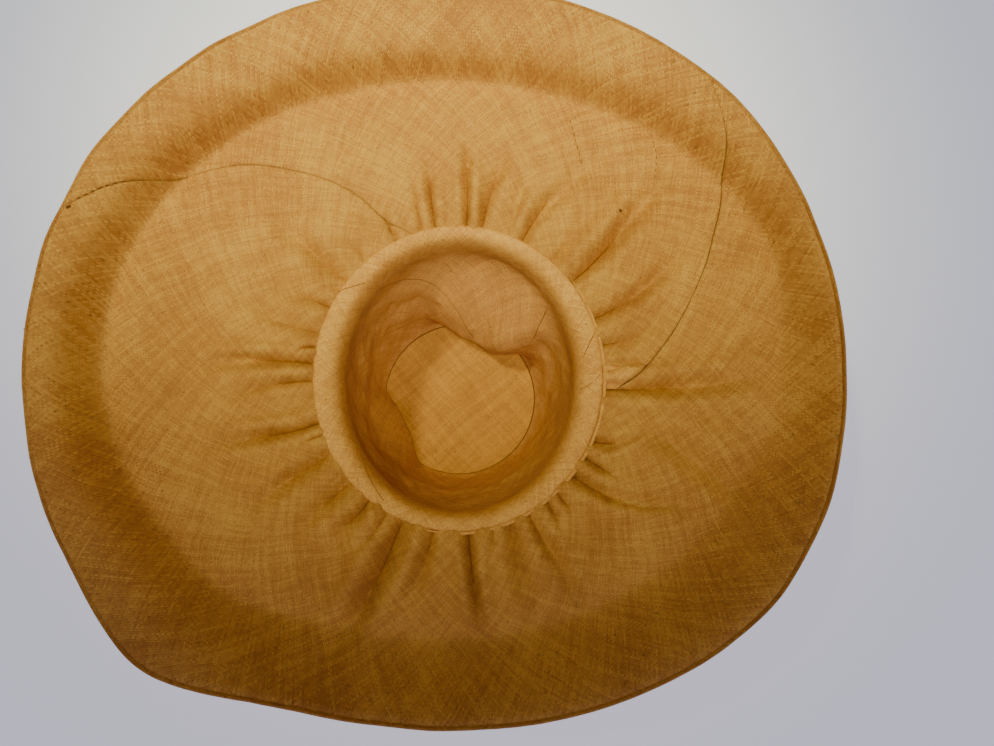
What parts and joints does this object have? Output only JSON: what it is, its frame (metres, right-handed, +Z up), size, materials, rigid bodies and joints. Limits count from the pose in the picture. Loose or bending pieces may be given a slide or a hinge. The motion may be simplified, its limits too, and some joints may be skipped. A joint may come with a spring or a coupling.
{
  "type": "straw sun hat",
  "caption": "Wide-brimmed woven straw sun hat lying crown down, with a gathered floppy brim and a folded band round its open head hollow.",
  "frame": {"origin": "centre of the crown tip's flat outer face, which the hat rests on", "axes": "+Z up from the tip through the head opening, the brim's panel seams meet the rim at upper left and upper right of the +X, +Y view from above"},
  "size_m": [0.4676, 0.4251, 0.1715],
  "materials": {
    "tip_straw": "matte woven straw",
    "crown_straw": "matte woven straw",
    "band_straw": "matte woven straw, folded and rolled",
    "brim_straw": "matte woven straw",
    "hem_straw": "matte rolled straw hem"
  },
  "bodies": {
    "root": {"crown_tip": "tip_straw", "crown_side": "crown_straw", "head_band": "band_straw", "brim_panel_upper": "brim_straw", "brim_panel_lower": "brim_straw", "brim_edge": "hem_straw"}
  },
  "joints": []
}
